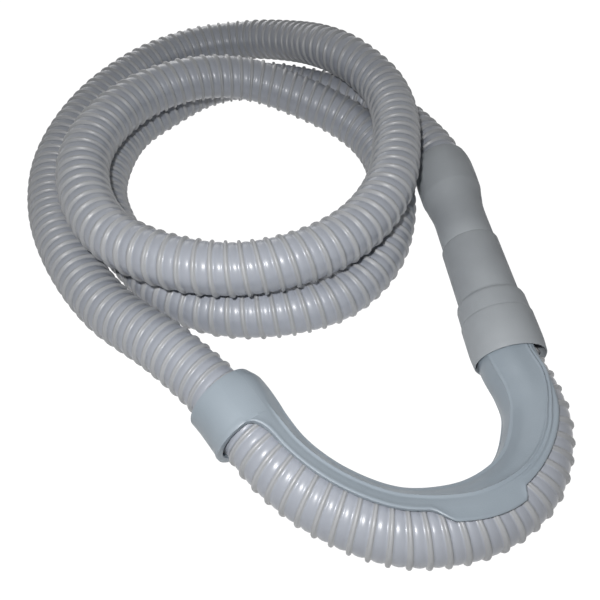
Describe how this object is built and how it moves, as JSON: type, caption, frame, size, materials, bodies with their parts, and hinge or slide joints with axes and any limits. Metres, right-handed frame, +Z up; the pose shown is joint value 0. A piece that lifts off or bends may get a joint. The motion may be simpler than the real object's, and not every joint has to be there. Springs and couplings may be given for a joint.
{
  "type": "ribbed hose with swivel cuffs and bend guide",
  "caption": "Ribbed flexible hose lying in loose turns, its stepped end cuffs plugged together, with a hooked guide that holds a U bend near one end.",
  "frame": {"origin": "on the ground under the middle of the hose's bounding box", "axes": "+Z up from the ground the hose lies on, +Y from the guide's U bend towards the far turn, +X towards the cuffs"},
  "size_m": [0.3367, 0.4564, 0.0671],
  "materials": {
    "hose": "semi-gloss grey with raised narrow ribs",
    "cuff": "matt soft grey",
    "collar": "matt off-white",
    "guide": "satin blue-grey"
  },
  "bodies": {
    "hose": {"hose_lower_turn": "hose", "hose_upper_turn": "hose", "hose_outer_run": "hose", "hose_bend": "hose", "upper_collar": "collar", "lower_collar": "collar", "guide": "guide"},
    "upper_cuff_body": {"upper_cuff": "cuff"},
    "lower_cuff_body": {"lower_cuff": "cuff"}
  },
  "joints": [
    {"name": "upper_cuff_swivel", "type": "hinge", "parent": "hose", "child": "upper_cuff_body", "pos_m": [0.1402, -0.041, 0.0208], "axis": [-0.0958, 0.9954, 0], "continuous": true},
    {"name": "lower_cuff_swivel", "type": "hinge", "parent": "hose", "child": "lower_cuff_body", "pos_m": [0.1402, -0.041, 0.0208], "axis": [-0.0958, 0.9954, 0], "continuous": true}
  ]
}
